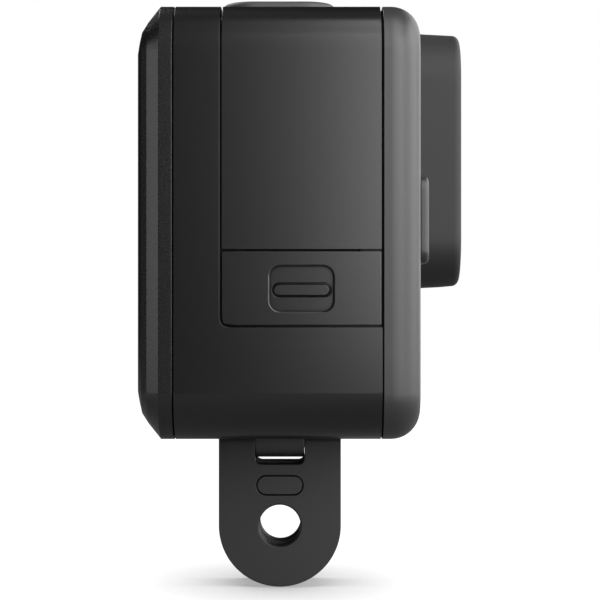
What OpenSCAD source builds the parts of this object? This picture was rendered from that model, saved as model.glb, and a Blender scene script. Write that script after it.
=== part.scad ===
// Compact action camera: a sealed box with a square lens cover, a flip-up side door
// with a sliding latch, a top shutter button, and two pairs of folding mounting fingers.
// Millimetres. The origin is the centre of the bore through the two base fingers.
// X runs across the body (the door is on the -X side), the lens looks along -Y, Z is up.

/* [Body] */
// Width of the body across the lens axis
body_w = 52.4; // [50:0.1:66]
// Height of the body without the button and the fingers
body_h = 49.5; // [49:0.1:62]
// Depth of the main housing between the front and rear covers
housing_d = 23.4; // [22.6:0.1:30]
// Radius of the body's four long corners
corner_r = 5.5; // [4.6:0.1:6.6]
// Wall thickness of the housing
wall = 1.6; // [1.3:0.1:2]

/* [Covers] */
// Depth of the front cover
front_d = 4.4; // [3.8:0.05:5.5]
// Round of the front cover's edge
front_edge_r = 3.4; // [2.4:0.1:3.7]
// Depth of the rear heat sink
rear_d = 4.2; // [4.2:0.05:5.2]
// Depth of the heat sink's edge chamfer
rear_chamfer_d = 1.45; // [0.8:0.05:1.6]
// Width of the heat sink's edge chamfer
rear_chamfer_w = 1.8; // [1.2:0.1:2.4]
// Compressed thickness of the gasket between a cover and the housing
gasket_t = 0.2; // [0.1:0.05:0.3]

/* [Lens cover] */
// Side of the square lens cover
cover_w = 31.6; // [29:0.1:34]
// Depth of the lens cover
cover_d = 5.65; // [5.2:0.05:7]
// Radius of the lens cover's corners
cover_corner_r = 6; // [4:0.1:8]
// Distance from the cover to the body's far side
cover_side_gap = 2; // [1:0.1:4]
// Distance from the cover to the body's top
cover_top_gap = 0.5; // [0.4:0.1:2]

/* [Mounting fingers] */
// Width of a finger
finger_w = 15; // [12.5:0.1:16]
// Thickness of a finger
finger_t = 3; // [2.5:0.1:3.2]
// Gap between a pair of unfolded fingers
finger_gap = 3; // [2.5:0.1:4]
// Diameter of the thumb screw bore
bore_d = 5.1; // [4.2:0.1:6]
// Distance from a finger's hinge pin to its bore
finger_reach = 10.1; // [10:0.1:12.2]
// Width of the hinge knuckle between a finger's ears
knuckle_w = 6; // [5:0.1:7]
// Diameter of a hinge pin
pin_d = 1.2; // [1:0.1:1.4]

/* [Door] */
// Width of the door along the body's depth
door_d = 17.9; // [17:0.1:20]
// Height of the door's side, from the top of the body
door_h = 36.4; // [35:0.1:40]
// Thickness of the door's skin
door_t = 1.4; // [1.2:0.1:1.6]
// Height of the latch panel at the door's foot
latch_panel_h = 8.4; // [8.2:0.1:10]
// Visible gap round the door
seam = 0.25; // [0.15:0.05:0.3]
// Travel of the door latch
latch_travel = 1; // [0.6:0.1:1]

/* [Shutter button] */
// Length of the button across the body
button_w = 15; // [12.5:0.1:16]
// Width of the button along the body's depth
button_d = 13.3; // [11:0.1:15]
// Height of the button above the body
button_rise = 1.7; // [1.2:0.1:2.1]
// Travel of the button
button_travel = 0.5; // [0.3:0.1:0.6]

/* [Hidden] */
$fn = 64;
eps = 0.01;
fit = 0.1;          // clearance of a piece seated in its pocket
pin_clear = 0.05;   // radial running clearance of a hinge pin

// Mounting finger and hinge block
hinge_x = (finger_gap + finger_t) / 2;
hinge_z = finger_reach;
fold_gap = 0.2;             // folded finger to the surface it lies on
notch_h = finger_t / 2 + 1.1; // from the pin to the foot of a finger's notch
notch_r = 0.8;
bore_r = bore_d / 2;
bore_chamfer = 0.13;
pin_r = pin_d / 2;
knuckle_clear = 0.05;       // between the knuckle and each ear
knuckle_drop = 0.25;        // how far the base knuckles hang below their pins' round
cap_w = 5.8;                // magnet cap, as wide and as high as its stadium outline
cap_h = 2.5;
cap_drop = 5.15;            // from the pin to the middle of the magnet cap
cap_t = 1.4;
cap_groove = 0.16;          // open line round the magnet cap

// Body frame
body_z0 = hinge_z + finger_t / 2 + fold_gap;
body_z1 = body_z0 + body_h;
body_zc = (body_z0 + body_z1) / 2;
side_x = body_w / 2;
y_front = -housing_d / 2;
y_rear = housing_d / 2;
front_y1 = y_front - gasket_t;      // back of the front cover
front_y0 = front_y1 - front_d;      // its front face
rear_y0 = y_rear + gasket_t;        // front of the heat sink
rear_y1 = rear_y0 + rear_d;         // its outermost face

// Door and its bay
door_y0 = y_front + 0.1;
door_y1 = door_y0 + door_d;
door_z0 = body_z1 - door_h;
split_z = door_z0 + latch_panel_h;
door_corner_r = 0.8;
barrel_r = 1.5;
door_hinge_x = -side_x + corner_r + 1.2;
door_hinge_z = body_z1 - barrel_r;
barrel_y0 = door_y0 + 2;
door_pin_r = 0.5;
skin_x = -side_x + door_t;          // inner face of the door's skin
frame_t = 1.4;
frame_x1 = skin_x + frame_t;
frame_y0 = door_y0 + 3.4;
frame_y1 = door_y1 - 3.5;
frame_z0 = door_z0 + 1;
frame_z1 = body_z1 - 11.3;
seal_w = 0.8;
recess_x = frame_x1 + 0.3;          // floor of the bay behind the door
bay_x = recess_x + 1.7;             // inner face of the bay's wall
hinge_boss_x1 = door_hinge_x + barrel_r + 1;
hinge_boss_z0 = body_z1 - 2 * barrel_r - 1.2;

// Latch in its window
window_w = 7.5;
window_h = 5.3;
window_r = 1.2;
window_yc = (door_y0 + door_y1) / 2;
window_z0 = door_z0 + 1.45;
window_zc = window_z0 + window_h / 2;
latch_depth = 0.6;                  // from the skin's face to the latch's plate
latch_plate_t = 0.65;
latch_plate_w = window_w + 1.6;
latch_plate_z0 = window_z0 - 0.1;
latch_plate_z1 = window_z0 + window_h + latch_travel + 0.05;
grip_w = 6.4;
grip_h = 1.45;
grip_z = window_z0 + 2.5;
stem_w = 2;
stem_h = 2;
stem_z1 = window_z0 + window_h;
spring_z0 = stem_z1 - stem_h - latch_travel - 1.2;

// Cavity of the housing
cavity_x0 = bay_x;
cavity_x1 = side_x - wall;
cavity_xc = (cavity_x0 + cavity_x1) / 2;
cavity_w = cavity_x1 - cavity_x0;
cavity_h = body_h - 2 * wall;
cavity_r = corner_r - wall;
cavity_z0 = body_z0 + wall;
cavity_z1 = body_z1 - wall;

// Lens and its cover
lens_x = side_x - cover_side_gap - cover_w / 2;
lens_z = body_z1 - cover_top_gap - cover_w / 2;
cover_y1 = front_y0 - 0.2;
cover_y0 = cover_y1 - cover_d;
cover_edge_r = 0.9;
cover_cavity_r = cover_w / 2 - 2.6;
barrel_out_r = cover_cavity_r - 3.2;
ring_in_r = barrel_out_r + 0.3;
ring_out_r = cover_cavity_r - 1;
ring_y0 = front_y0 - 3.3;
lug_angle = 36;
lug_t = 0.7;
glass_r = cover_cavity_r - 0.7;
glass_t = 0.9;
glass_y0 = cover_y0 + 0.3;
barrel_y_front = glass_y0 + glass_t + 0.6;
element_r = barrel_out_r - 3;
block_y0 = -6;
block_y1 = -1.5;
board_y0 = 3;
board_t = 1;

// Shutter button
button_x = door_hinge_x + barrel_r + 1.8 + button_w / 2;
button_r = 3.6;
flange = 0.5;
flange_t = 0.8;
seal_t = 0.3;
flange_z1 = cavity_z1 - seal_t;
flange_z0 = flange_z1 - flange_t;
plunger_h = 1;
switch_z1 = flange_z0 - plunger_h - button_travel - 0.1;
switch_h = 1.4;
button_board_t = 0.8;
button_board_z1 = switch_z1 - switch_h;
post_x = button_x + button_w / 2 + 2.4;

// Status display on the top
display_x0 = button_x + button_w / 2 + 5.6;
display_x1 = side_x - corner_r - 0.5;
display_w = display_x1 - display_x0;
display_d = 11;
display_t = 0.9;

// Rear pair of fingers, folded flush into the heat sink
rear_hinge_y = rear_y1 - finger_t / 2 - 0.2;
rear_pocket_y = rear_hinge_y - finger_t / 2 - 0.15;
scoop_r = 2.2;
post_w = 12;
thermal_y0 = board_y0 + board_t + 1.2;
thermal_t = 0.8;

// Screws of the heat sink
screw_x = [cavity_x0 + 2.4, cavity_x1 - 2.4];
screw_z = [cavity_z0 + 2.4, cavity_z1 - 2.4];
screw_r = 0.75;
screw_head_r = 1.5;
screw_head_y = rear_y0 + 1.6;
screw_tip_y = y_rear - 3.2;
boss_r = 2.1;

// ---------------------------------------------------------------- helpers

// Rounded rectangle, centred, with true arcs
module rounded_rect(w, h, r) {
    square([w - 2 * r, h], center = true);
    square([w, h - 2 * r], center = true);
    for (sx = [-1, 1], sz = [-1, 1])
        translate([sx * (w / 2 - r), sz * (h / 2 - r)]) circle(r);
}

// Box between two corners
module block(low, high) {
    translate(low) cube(high - low);
}

// Rounded rectangle in X and Z, from y0 to y1
module slab(w, h, r, y0, y1, x = 0, z = body_zc) {
    translate([x, y1, z]) rotate([90, 0, 0]) linear_extrude(y1 - y0) rounded_rect(w, h, r);
}

// The body's outline, inset on all sides, from y0 to y1
module body_slab(inset, y0, y1) {
    slab(body_w - 2 * inset, body_h - 2 * inset, corner_r - inset, y0, y1);
}

// Plate with a round of radius e all round its front face at y0, corners of radius r
module soft_plate(w, h, r, y0, y1, e, x = 0, z = body_zc) {
    cx = w / 2 - r;
    cz = h / 2 - r;
    for (sx = [-1, 1], sz = [-1, 1]) translate([x + sx * cx, y1, z + sz * cz])
        rotate([90, 0, 0]) rotate_extrude() edge_profile(r, y1 - y0, e);
    along_x(x - cx, x + cx) translate([y1, z]) rotate(90) soft_section(h, y1 - y0, e);
    translate([x, y1, z - cz]) linear_extrude(2 * cz) mirror([0, 1]) soft_section(w, y1 - y0, e);
}

// Half section for a revolved corner: its outer upper edge is rounded
module edge_profile(r, d, e) {
    square([r - e, d]);
    square([r, d - e]);
    translate([r - e, d - e]) intersection() {
        circle(e);
        square(e + 1);
    }
}

// Full section, both upper edges rounded
module soft_section(w, d, e) {
    edge_profile(w / 2, d, e);
    mirror([1, 0]) edge_profile(w / 2, d, e);
}

// A profile drawn in Y and Z, carried from x0 to x1
module along_x(x0, x1) {
    translate([x0, 0, 0]) rotate([90, 0, 90]) linear_extrude(x1 - x0) children();
}

// Round bar along Y
module rod_y(r, y0, y1, x, z) {
    translate([x, y1, z]) rotate([90, 0, 0]) cylinder(r = r, h = y1 - y0);
}

// Round bar along X
module rod_x(r, x0, x1, y, z) {
    translate([x0, y, z]) rotate([0, 90, 0]) cylinder(r = r, h = x1 - x0);
}

// Box rounded on its four upright edges, from z0 to z1
module upright(w, d, r, z0, z1, x = 0, y = 0) {
    translate([x, y, z0]) linear_extrude(z1 - z0) rounded_rect(w, d, r);
}

module mirrored_x() {
    children();
    mirror([1, 0, 0]) children();
}

// A child at each of the heat sink's four screws
module at_screws() {
    for (x = screw_x, z = screw_z) translate([x, 0, z]) children();
}

// ---------------------------------------------------------------- fingers

// A finger that hangs from its pin, which lies along Y through the origin.
// Its outer face looks along -X and holds the magnet's pocket.
module finger() {
    difference() {
        union() {
            translate([-finger_t / 2, 0, 0]) along_x(0, finger_t) {
                translate([0, -finger_reach]) circle(finger_w / 2);
                translate([-finger_w / 2, -finger_reach]) square([finger_w, finger_reach]);
            }
            rod_y(finger_t / 2, -finger_w / 2, finger_w / 2, 0, 0);
        }
        // notch round the knuckle
        along_x(-finger_t, finger_t) {
            width = knuckle_w + 2 * knuckle_clear;
            translate([-width / 2, -notch_h + notch_r]) square([width, notch_h + finger_t]);
            translate([-width / 2 + notch_r, -notch_h]) square([width - 2 * notch_r, notch_h]);
            for (s = [-1, 1])
                translate([s * (width / 2 - notch_r), -notch_h + notch_r]) circle(notch_r);
        }
        rod_y(pin_r + pin_clear, -finger_w, finger_w, 0, 0);
        // thumb screw bore, with a light chamfer at each mouth
        rod_x(bore_r, -finger_t, finger_t, 0, -finger_reach);
        mirrored_x() translate([finger_t / 2 - bore_chamfer, 0, -finger_reach]) rotate([0, 90, 0])
            cylinder(r1 = bore_r, r2 = bore_r + 2 * bore_chamfer, h = 2 * bore_chamfer);
        magnet_shape(0);
    }
}

// The stadium outline of the magnet and its cap, in a finger's own frame
module magnet_shape(inset) {
    translate([-finger_t / 2 - eps * (inset > 0 ? 0 : 1), 0, -cap_drop])
        along_x(0, cap_t - inset) rounded_rect(cap_w - 2 * inset, cap_h - 2 * inset,
                                               cap_h / 2 - inset - eps);
}

// The two round-edged knuckles that carry a pair of fingers, pins along Y at +-hinge_x,
// with a stalk of the given height above the pins and their rounds lowered by the drop
module knuckle_block(stalk, drop = 0) {
    difference() {
        translate([0, knuckle_w / 2, -drop]) rotate([90, 0, 0]) linear_extrude(knuckle_w) {
            for (s = [-1, 1]) translate([s * hinge_x, 0]) circle(finger_t / 2);
            translate([-hinge_x, -finger_t / 2]) square([2 * hinge_x, finger_t]);
            translate([-hinge_x - finger_t / 2, 0])
                square([2 * hinge_x + finger_t, stalk + drop]);
        }
        for (s = [-1, 1]) rod_y(pin_r, -knuckle_w, knuckle_w, s * hinge_x, 0);
    }
}

module hinge_pins() {
    for (s = [-1, 1])
        rod_y(pin_r, -finger_w / 2 + 0.3, finger_w / 2 - 0.3, s * hinge_x, 0);
}

// Places the rear pair's frame: its fingers are folded outwards, along X
module at_rear() {
    translate([0, rear_hinge_y, body_zc]) children();
}

module folded_right() {
    at_rear() translate([-hinge_x, 0, 0]) rotate([90, 0, 90]) children();
}

// ---------------------------------------------------------------- shells

bracket_plate_w = 2 * hinge_x + finger_t + 9;
bracket_plate_d = knuckle_w + 5;
bracket_plate_t = 1;
bracket_screw_x = hinge_x + finger_t / 2 + 2.2;

// The door's outline in Y and Z, grown by the given gap, with its lower rear corner rounded
module door_outline(grow, z0, rounded = true) {
    y1 = door_y1 + grow;
    low = z0 - grow;
    r = door_corner_r + grow;
    top = body_z1 + 1;
    if (rounded) {
        translate([door_y0 - grow, low]) square([y1 - r - door_y0 + grow, top - low]);
        translate([door_y0 - grow, low + r]) square([y1 - door_y0 + grow, top - low - r]);
        translate([y1 - r, low + r]) circle(r);
    } else {
        translate([door_y0 - grow, low]) square([y1 - door_y0 + grow, top - low]);
    }
}

// The groove that the door's barrel turns in, open upwards
module barrel_groove() {
    r = barrel_r + fit;
    y0 = barrel_y0 - 0.15;
    y1 = door_y1 + seam;
    rod_y(r, y0, y1, door_hinge_x, door_hinge_z);
    block([door_hinge_x - r, y0, door_hinge_z], [door_hinge_x + r, y1, body_z1 + 1]);
    block([-side_x + corner_r - 1, y0, body_z1 - door_t - fit],
          [door_hinge_x, y1, body_z1 + 1]);
    // the ear in front of the barrel is rounded off, so that the door swings past it
    difference() {
        block([-side_x + corner_r - 1, door_y0 - seam, door_hinge_z],
              [door_hinge_x, y0 + eps, body_z1 + 1]);
        rod_y(barrel_r, door_y0 - 1, y0 + 1, door_hinge_x, door_hinge_z);
    }
}

// All that the door needs taken out of the housing
module door_void() {
    intersection() {
        difference() {
            body_slab(-1, y_front - 1, y_rear);
            body_slab(door_t + fit, y_front - 2, y_rear + 1);
        }
        along_x(-side_x - 2, -side_x + corner_r - 0.2) door_outline(seam, door_z0);
    }
    barrel_groove();
    // bay that takes the door's frame and its seal
    grow = seal_w + fit + 0.1;
    block([-side_x + door_t, frame_y0 - grow, frame_z0 - 0.6],
          [recess_x, frame_y1 + grow, frame_z1 + grow + 1]);
    // ways in for the plug and for the card
    block([recess_x - 1, usb_y - usb_t / 2 - fit, usb_z - usb_w / 2 - fit],
          [bay_x + 1, usb_y + usb_t / 2 + fit, usb_z + usb_w / 2 + fit]);
    block([recess_x - 1, card_y - card_t / 2 - fit, card_z - card_w / 2 - fit],
          [bay_x + 1, card_y + card_t / 2 + fit, card_z + card_w / 2 + fit]);
}

speaker_y = 6;
speaker_r = 4.4;
speaker_z = cavity_z0 + 11;
speaker_t = 3;

module main_housing() color("#2b2b2c") difference() {
    union() {
        difference() {
            body_slab(0, y_front, y_rear);
            difference() {
                slab(cavity_w, cavity_h, cavity_r, y_front - 1, y_rear + 1, cavity_xc);
                block([cavity_x0 - 1, y_front - 2, hinge_boss_z0],
                      [hinge_boss_x1, y_rear + 2, body_z1]);
                at_screws() rod_y(boss_r, y_rear - 4, y_rear, 0, 0);
            }
            // room beside the battery, below the bay
            block([-side_x + wall, y_front + 2, cavity_z0 + 2],
                  [cavity_x0 + 1, y_rear - 5, door_z0 - 1.6]);
        }
        // posts that carry the button's board
        for (s = [-1, 1]) translate([post_x, s * (button_d / 2 - 2.2), button_board_z1])
            cylinder(r = 1.2, h = cavity_z1 - button_board_z1 + eps);
    }
    door_void();
    rod_y(door_pin_r, door_y0 + 0.7, door_y1 + 2.4, door_hinge_x, door_hinge_z);
    at_screws() rod_y(screw_r, screw_tip_y, y_rear + 1, 0, 0);
    // shutter button
    upright(button_w + 2 * fit, button_d + 2 * fit, button_r + fit,
            cavity_z1 - 1, body_z1 + 1, button_x);
    // status window, on a ledge
    upright(display_w, display_d, 1.5, body_z1 - display_t, body_z1 + 1,
            (display_x0 + display_x1) / 2);
    upright(display_w - 2, display_d - 2, 1, cavity_z1 - 1, body_z1,
            (display_x0 + display_x1) / 2);
    // base bracket: its block comes out through the floor
    block([-hinge_x - finger_t / 2, -knuckle_w / 2, body_z0 - 1],
          [hinge_x + finger_t / 2, knuckle_w / 2, cavity_z0 + 1]);
    for (s = [-1, 1]) translate([s * bracket_screw_x, 0, cavity_z0 - 1])
        cylinder(r = 0.5, h = 2);
    // speaker slots on the far side
    for (i = [-2:2])
        block([cavity_x1 - 1, speaker_y - 2.4, speaker_z + 1.6 * i - 0.35],
              [side_x + 1, speaker_y + 2.4, speaker_z + 1.6 * i + 0.35]);
}

mic_cover_h = 10;
mic_cover_w = 9;
mic_cover_rise = 1;
mic_cover_x = -side_x + 9;
mic_cover_z = body_zc + 0.35;

// The front cover's outer or inner shape, inset on all sides
module front_shape(inset) {
    soft_plate(body_w - 2 * inset, body_h - 2 * inset, corner_r - inset, front_y0 + inset,
               front_y1 + (inset > 0 ? 1 : 0), front_edge_r - inset);
}

module front_cover() color("#4a4a4c") difference() {
    front_shape(0);
    front_shape(wall + 0.2);
    rod_y(ring_in_r, front_y0 - 1, front_y1, lens_x, lens_z);
    // sound hole and seat of the microphone, and the light's hole
    rod_y(0.6, front_y0 - 1, front_y1, mic_cover_x, mic_cover_z);
    rod_y(0.9, front_y0 - 1, front_y1, light_x, light_z);
}

light_x = -side_x + 7;
light_z = body_z1 - 8;

// Rear profile: [depth behind the joint, inset from the edge]
rear_crown_d = 1.25;        // depth of the facets behind the chamfer
rear_crown_w = corner_r - 0.1 - rear_chamfer_w;
rear_profile = [
    [0, 0],
    [rear_d - rear_chamfer_d - rear_crown_d, 0],
    [rear_d - rear_crown_d, rear_chamfer_w],
    [rear_d - 0.55, rear_chamfer_w + 0.3 * rear_crown_w],
    [rear_d - 0.25, rear_chamfer_w + 0.63 * rear_crown_w],
    [rear_d, rear_chamfer_w + rear_crown_w]
];

// Closed outline from the profile and its mirror image
function rear_outline(half) = concat(
    [for (p = rear_profile) [rear_y0 + p[0], half - p[1]]],
    [for (i = [len(rear_profile) - 1:-1:0])
        [rear_y0 + rear_profile[i][0], rear_profile[i][1] - half]]
);

// The heat sink's outer shape: straight sides and revolved corners
module rear_shape() {
    cx = side_x - corner_r;
    cz = body_h / 2 - corner_r;
    along_x(-cx, cx) translate([0, body_zc]) polygon(rear_outline(body_h / 2));
    translate([0, 0, body_zc - cz]) linear_extrude(2 * cz)
        polygon([for (p = rear_outline(side_x)) [p[1], p[0]]]);
    for (sx = [-1, 1], sz = [-1, 1]) translate([sx * cx, rear_y0, body_zc + sz * cz])
        rotate([-90, 0, 0]) rotate_extrude() polygon(concat(
            [for (p = rear_profile) [corner_r - p[1], p[0]]], [[0, rear_d], [0, 0]]));
}

fin_w = 0.7;
fin_pitch = 2.4;
fin_depth = 0.6;
fins = 4;

module rear_heat_sink() color("#262627") difference() {
    union() {
        rear_shape();
        // post that reaches in to the processor
        block([lens_x - post_w / 2, thermal_y0 + thermal_t, lens_z - post_w / 2],
              [lens_x + post_w / 2, rear_y0 + eps, lens_z + post_w / 2]);
    }
    // pocket of the folded fingers, with a nail scoop below each of them
    at_rear() mirrored_x() translate([0, rear_y1 - rear_hinge_y + 1, 0])
        rotate([90, 0, 0]) linear_extrude(rear_y1 - rear_pocket_y + 1) {
            translate([-hinge_x - finger_reach, 0]) circle(finger_w / 2 + fold_gap);
            translate([-hinge_x - finger_reach, -finger_w / 2 - fold_gap])
                square([hinge_x + finger_reach + eps, finger_w + 2 * fold_gap]);
            translate([-hinge_x - finger_reach, -finger_w / 2]) circle(scoop_r);
        }
    // seat of the rear knuckles, cut right through
    block([-hinge_x - finger_t / 2, rear_y0 - 1, body_zc - knuckle_w / 2],
          [hinge_x + finger_t / 2, rear_y1, body_zc + knuckle_w / 2]);
    for (s = [-1, 1], i = [0:fins - 1])
        block([-side_x + 8, rear_y1 - fin_depth,
               body_zc + s * (finger_w / 2 + 2.4 + i * fin_pitch) - fin_w / 2],
              [side_x - 8, rear_y1 + 1,
               body_zc + s * (finger_w / 2 + 2.4 + i * fin_pitch) + fin_w / 2]);
    at_screws() {
        rod_y(screw_r + fit, rear_y0 - 1, rear_y1, 0, 0);
        rod_y(screw_head_r + fit, screw_head_y, rear_y1 + 1, 0, 0);
    }
}

module gasket(y0) difference() {
    body_slab(0.5, y0, y0 + gasket_t);
    body_slab(wall - 0.1, y0 - 1, y0 + 1);
}

module front_gasket() color("#1a1a1a") gasket(front_y1);
module rear_gasket() color("#1a1a1a") gasket(y_rear);

module rear_cover_screws() color("silver") at_screws() difference() {
    union() {
        rod_y(screw_r, screw_tip_y, screw_head_y + eps, 0, 0);
        rod_y(screw_head_r, screw_head_y, screw_head_y + 1, 0, 0);
    }
    // hexagon socket
    translate([0, screw_head_y + 1.1, 0]) rotate([90, 0, 0]) cylinder(r = 0.75, h = 0.7, $fn = 6);
}

// ---------------------------------------------------------------- base mount

module base_hinge_bracket() color("#242425") difference() {
    union() {
        translate([0, 0, hinge_z]) knuckle_block(cavity_z0 - hinge_z + eps, knuckle_drop);
        upright(bracket_plate_w, bracket_plate_d, 1.5, cavity_z0,
                cavity_z0 + bracket_plate_t);
    }
    for (s = [-1, 1]) translate([s * bracket_screw_x, 0, cavity_z0 - 1])
        cylinder(r = 0.6, h = 3);
}

module bracket_screws() color("silver") for (s = [-1, 1])
    translate([s * bracket_screw_x, 0, cavity_z0]) {
        translate([0, 0, -1]) cylinder(r = 0.5, h = 1 + bracket_plate_t + eps);
        translate([0, 0, bracket_plate_t]) cylinder(r = 1, h = 0.6);
    }

module base_hinge_pins() color("silver") translate([0, 0, hinge_z]) hinge_pins();

module base_finger_right() color("#333334") translate([-hinge_x, 0, hinge_z]) finger();
module base_finger_left() color("#333334") mirror([1, 0, 0]) base_finger_right();
module base_magnet_right() color("#2e2e2f") translate([-hinge_x, 0, hinge_z])
    magnet_shape(cap_groove);
module base_magnet_left() color("#2e2e2f") mirror([1, 0, 0]) base_magnet_right();

module rear_hinge_bracket() color("#242425") at_rear() rotate([90, 0, 0])
    knuckle_block(rear_hinge_y - rear_y0);

module rear_hinge_pins() color("silver") at_rear() for (s = [-1, 1])
    translate([s * hinge_x, 0, -finger_w / 2 + 0.3]) cylinder(r = pin_r, h = finger_w - 0.6);

module rear_finger_right() color("#333334") folded_right() finger();
module rear_finger_left() color("#333334") mirror([1, 0, 0]) rear_finger_right();
module rear_magnet_right() color("#2e2e2f") folded_right() magnet_shape(cap_groove);
module rear_magnet_left() color("#2e2e2f") mirror([1, 0, 0]) rear_magnet_right();

// ---------------------------------------------------------------- door

module door_panel() color("#2f2f30") difference() {
    union() {
        intersection() {
            difference() {
                body_slab(0, door_y0, door_y1);
                body_slab(door_t, y_front - 1, y_rear);
            }
            along_x(-side_x - 1, -side_x + corner_r - 0.4)
                door_outline(0, split_z + seam / 2, false);
        }
        intersection() {
            body_slab(0, barrel_y0, door_y1);
            union() {
                block([-side_x + corner_r - 0.5, barrel_y0, body_z1 - door_t],
                      [door_hinge_x, door_y1, body_z1 + 1]);
                rod_y(barrel_r, barrel_y0, door_y1, door_hinge_x, door_hinge_z);
            }
        }
    }
    rod_y(door_pin_r + pin_clear, door_y0 - 1, door_y1 + 1, door_hinge_x, door_hinge_z);
}

module latch_window(grow, x0, x1) {
    along_x(x0, x1) translate([window_yc, window_zc])
        rounded_rect(window_w + 2 * grow, window_h + 2 * grow, window_r + grow);
}

module door_latch_panel() color("#2f2f30") difference() {
    intersection() {
        block([-side_x, door_y0, door_z0], [skin_x, door_y1, split_z - seam / 2]);
        along_x(-side_x - 1, skin_x + 1) door_outline(0, door_z0);
    }
    latch_window(0, -side_x - 1, skin_x + 1);
    // pocket that the latch's plate slides in, cut from behind
    block([-side_x + latch_depth - 0.05, window_yc - latch_plate_w / 2 - fit,
           latch_plate_z0 - latch_travel - 0.05],
          [skin_x + 1, window_yc + latch_plate_w / 2 + fit, latch_plate_z1 + 0.05]);
}

module door_frame() color("#3a3a3b") difference() {
    along_x(skin_x, frame_x1) translate([(frame_y0 + frame_y1) / 2, (frame_z0 + frame_z1) / 2])
        rounded_rect(frame_y1 - frame_y0, frame_z1 - frame_z0, 1.5);
    // slot of the latch's stem and its spring
    block([skin_x - 1, window_yc - stem_w / 2 - fit, spring_z0],
          [frame_x1 + 1, window_yc + stem_w / 2 + fit, stem_z1 + fit]);
    // relief in the frame's back
    block([frame_x1 - 0.5, frame_y0 + 1.6, split_z + 2],
          [frame_x1 + 1, frame_y1 - 1.6, frame_z1 - 1.6]);
}

module door_seal() color("#7a2b22") along_x(skin_x + 0.3, frame_x1 - 0.2)
    translate([(frame_y0 + frame_y1) / 2, (frame_z0 + frame_z1) / 2]) difference() {
        rounded_rect(frame_y1 - frame_y0 + 2 * seal_w, frame_z1 - frame_z0 + seal_w, 1.9);
        rounded_rect(frame_y1 - frame_y0, frame_z1 - frame_z0, 1.5);
    }

module door_hinge_pin() color("silver")
    rod_y(door_pin_r, door_y0 + 0.7, door_y1 + 2.4, door_hinge_x, door_hinge_z);

module door_latch() color("#333334") {
    plate_x0 = -side_x + latch_depth;
    block([plate_x0, window_yc - latch_plate_w / 2, latch_plate_z0],
          [plate_x0 + latch_plate_t, window_yc + latch_plate_w / 2, latch_plate_z1]);
    along_x(-side_x + 0.08, plate_x0 + eps) translate([window_yc, grip_z])
        rounded_rect(grip_w, grip_h, grip_h / 2 - eps);
    block([plate_x0 + latch_plate_t - eps, window_yc - stem_w / 2, stem_z1 - stem_h],
          [frame_x1 - 0.1, window_yc + stem_w / 2, stem_z1]);
}

spring_turns = 3;
spring_wire = 0.2;
spring_r = 0.42;
spring_h = stem_z1 - stem_h - spring_z0;

// Stack of rings that stands for the coil between the frame and the latch's stem
module latch_spring() color("silver") {
    x = skin_x + 0.72;
    for (i = [0:spring_turns]) translate([x, window_yc,
            spring_z0 + spring_wire / 2 + i * (spring_h - spring_wire) / spring_turns])
        rotate_extrude() translate([spring_r, 0]) circle(spring_wire / 2, $fn = 16);
    translate([x + spring_r, window_yc, spring_z0 + spring_wire / 2])
        cylinder(r = spring_wire / 3, h = spring_h - spring_wire, $fn = 16);
}

// ---------------------------------------------------------------- button and display

module shutter_button() color("#2a2a2b") {
    top = body_z1 + button_rise;
    // crowned in three steps
    upright(button_w, button_d, button_r, flange_z1 - eps, top - 0.8, button_x);
    upright(button_w - 0.6, button_d - 0.6, button_r - 0.3, top - 0.8 - eps, top - 0.35, button_x);
    upright(button_w - 1.8, button_d - 1.8, button_r - 0.9, top - 0.35 - eps, top, button_x);
    upright(button_w + 2 * flange, button_d + 2 * flange, button_r + flange,
            flange_z0, flange_z1, button_x);
    translate([button_x, 0, flange_z0 - plunger_h]) cylinder(r = 1.2, h = plunger_h + eps);
}

module button_seal() color("#1c1c1c") difference() {
    upright(button_w + 2 * flange, button_d + 2 * flange, button_r + flange,
            flange_z1, cavity_z1, button_x);
    upright(button_w + 4 * fit, button_d + 4 * fit, button_r + 2 * fit,
            flange_z1 - 1, cavity_z1 + 1, button_x);
}

module button_switch() color("silver") {
    block([button_x - 2, -2, button_board_z1], [button_x + 2, 2, switch_z1 - 0.4]);
    translate([button_x, 0, switch_z1 - 0.4 - eps]) cylinder(r = 1, h = 0.4 + eps);
}

module button_board() color("#2f6b3f")
    block([button_x - button_w / 2, -button_d / 2 + 0.5, button_board_z1 - button_board_t],
          [post_x + 1.4, button_d / 2 - 0.5, button_board_z1]);

module status_window() color("#101012")
    upright(display_w - 2 * fit, display_d - 2 * fit, 1.5 - fit,
            body_z1 - display_t, body_z1 - 0.05, (display_x0 + display_x1) / 2);

module status_display() color("#1d2230") upright(display_w - 2.4, display_d - 2.4, 0.8,
    cavity_z1 - 1.2, body_z1 - display_t, (display_x0 + display_x1) / 2);

// ---------------------------------------------------------------- lens

// Three lugs on a circle, between two radii and two depths
module lugs(r0, r1, y0, y1, start) {
    for (i = [0:2]) translate([lens_x, y1, lens_z]) rotate([90, 0, 0])
        rotate([0, 0, start + i * 120]) rotate_extrude(angle = lug_angle)
            translate([r0, 0]) square([r1 - r0, y1 - y0]);
}

module lens_cover_frame() color("#3c3c3e") {
    difference() {
        soft_plate(cover_w, cover_w, cover_corner_r, cover_y0, cover_y1, cover_edge_r,
                   lens_x, lens_z);
        rod_y(glass_r - 0.8, cover_y0 - 1, cover_y1 + 1, lens_x, lens_z);
        rod_y(glass_r + fit / 2, glass_y0, cover_y1 + 1, lens_x, lens_z);
        rod_y(cover_cavity_r, glass_y0 + glass_t + 0.2, cover_y1 + 1, lens_x, lens_z);
    }
    lugs(cover_cavity_r - 0.8, cover_cavity_r + 0.05, cover_y1 - lug_t, cover_y1, 12);
}

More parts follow.
